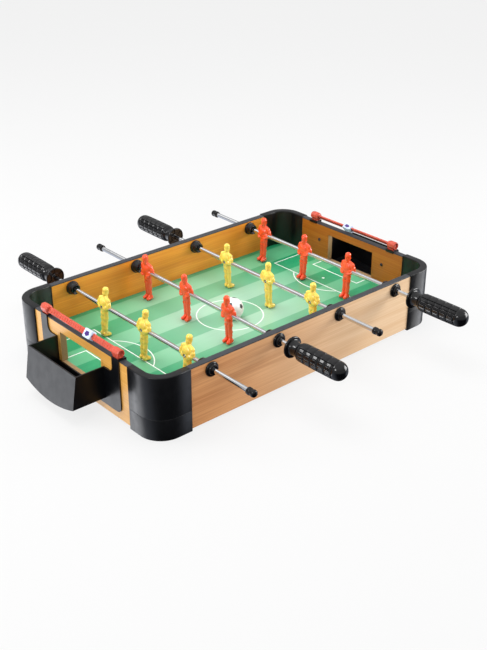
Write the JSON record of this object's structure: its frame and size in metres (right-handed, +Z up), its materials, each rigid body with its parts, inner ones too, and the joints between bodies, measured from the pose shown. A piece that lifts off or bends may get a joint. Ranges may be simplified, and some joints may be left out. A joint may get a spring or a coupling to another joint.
{
  "type": "tabletop foosball",
  "caption": "Tabletop foosball tray with sliding, spinning player rods, a ball box and a score rail at each end, and a loose ball.",
  "frame": {"origin": "middle of the plane that the four corner feet stand on", "axes": "+X along the table towards the right-hand goal, +Y across it towards the back side, where rods 1 and 3 have their handles, +Z up"},
  "size_m": [0.61, 0.5745, 0.1035],
  "materials": {
    "wood_panel": "printed wood grain foil on fibreboard, satin",
    "corner_plastic": "satin black moulded plastic",
    "trim_plastic": "satin black edge moulding",
    "printed_field": "printed green pitch with white lines, semi-gloss",
    "screw_steel": "zinc-plated",
    "bushing_plastic": "black moulded plastic",
    "goal_box_plastic": "satin black moulded plastic",
    "score_rail_plastic": "red moulded plastic",
    "score_marker_plastic": "white with dark blue hexagons",
    "ball_plastic": "white with black patches",
    "rod_chrome": "polished",
    "handle_plastic": "glossy black moulded plastic",
    "end_cap_rubber": "black",
    "yellow_player_plastic": "yellow moulded plastic",
    "red_player_plastic": "orange-red moulded plastic"
  },
  "bodies": {
    "table": {"front_panel": "wood_panel", "back_panel": "wood_panel", "left_end_panel": "wood_panel", "right_end_panel": "wood_panel", "front_left_post": "corner_plastic", "front_right_post": "corner_plastic", "back_left_post": "corner_plastic", "back_right_post": "corner_plastic", "front_left_foot": "corner_plastic", "front_right_foot": "corner_plastic", "back_left_foot": "corner_plastic", "back_right_foot": "corner_plastic", "front_trim": "trim_plastic", "back_trim": "trim_plastic", "left_end_trim": "trim_plastic", "right_end_trim": "trim_plastic", "playing_field": "printed_field", "field_screws": "screw_steel", "bushing_housings": "bushing_plastic", "bushing_bumpers": "bushing_plastic", "left_goal_box": "goal_box_plastic", "right_goal_box": "goal_box_plastic", "goal_box_screws": "screw_steel", "left_score_rail": "score_rail_plastic", "right_score_rail": "score_rail_plastic"},
    "sleeves_1": {"bearing_sleeves_1": "bushing_plastic"},
    "rod_assembly_1": {"rod_1": "rod_chrome", "handle_1": "handle_plastic", "end_cap_1": "end_cap_rubber", "player_screws_1": "screw_steel", "player_1_back": "yellow_player_plastic", "player_1_middle": "yellow_player_plastic", "player_1_front": "yellow_player_plastic"},
    "sleeves_2": {"bearing_sleeves_2": "bushing_plastic"},
    "rod_assembly_2": {"rod_2": "rod_chrome", "handle_2": "handle_plastic", "end_cap_2": "end_cap_rubber", "player_screws_2": "screw_steel", "player_2_back": "red_player_plastic", "player_2_middle": "red_player_plastic", "player_2_front": "red_player_plastic"},
    "sleeves_3": {"bearing_sleeves_3": "bushing_plastic"},
    "rod_assembly_3": {"rod_3": "rod_chrome", "handle_3": "handle_plastic", "end_cap_3": "end_cap_rubber", "player_screws_3": "screw_steel", "player_3_back": "yellow_player_plastic", "player_3_middle": "yellow_player_plastic", "player_3_front": "yellow_player_plastic"},
    "sleeves_4": {"bearing_sleeves_4": "bushing_plastic"},
    "rod_assembly_4": {"rod_4": "rod_chrome", "handle_4": "handle_plastic", "end_cap_4": "end_cap_rubber", "player_screws_4": "screw_steel", "player_4_back": "red_player_plastic", "player_4_middle": "red_player_plastic", "player_4_front": "red_player_plastic"},
    "left_marker": {"left_score_marker": "score_marker_plastic"},
    "right_marker": {"right_score_marker": "score_marker_plastic"},
    "ball": {"ball": "ball_plastic"}
  },
  "joints": [
    {"name": "rod_1_spin", "type": "hinge", "parent": "table", "child": "sleeves_1", "pos_m": [-0.16755, 0, 0.075], "axis": [0, 1, 0], "continuous": true},
    {"name": "rod_1_slide", "type": "slide", "parent": "sleeves_1", "child": "rod_assembly_1", "axis": [0, 1, 0], "range_m": [-0.0106, 0.0536]},
    {"name": "rod_2_spin", "type": "hinge", "parent": "table", "child": "sleeves_2", "pos_m": [-0.05585, 0, 0.075], "axis": [0, 1, 0], "continuous": true},
    {"name": "rod_2_slide", "type": "slide", "parent": "sleeves_2", "child": "rod_assembly_2", "axis": [0, 1, 0], "range_m": [-0.0631, 0.0011]},
    {"name": "rod_3_spin", "type": "hinge", "parent": "table", "child": "sleeves_3", "pos_m": [0.05585, 0, 0.075], "axis": [0, 1, 0], "continuous": true},
    {"name": "rod_3_slide", "type": "slide", "parent": "sleeves_3", "child": "rod_assembly_3", "axis": [0, 1, 0], "range_m": [-0.0156, 0.0486]},
    {"name": "rod_4_spin", "type": "hinge", "parent": "table", "child": "sleeves_4", "pos_m": [0.16755, 0, 0.075], "axis": [0, 1, 0], "continuous": true},
    {"name": "rod_4_slide", "type": "slide", "parent": "sleeves_4", "child": "rod_assembly_4", "axis": [0, 1, 0], "range_m": [-0.0551, 0.0091]},
    {"name": "left_marker_slide", "type": "slide", "parent": "table", "child": "left_marker", "axis": [0, 1, 0], "range_m": [-0.0447, 0.0837]},
    {"name": "right_marker_slide", "type": "slide", "parent": "table", "child": "right_marker", "axis": [0, 1, 0], "range_m": [-0.0737, 0.0547]},
    {"name": "ball_lift", "type": "slide", "parent": "table", "child": "ball", "axis": [0, 0, 1], "range_m": [0, 0.1]}
  ]
}
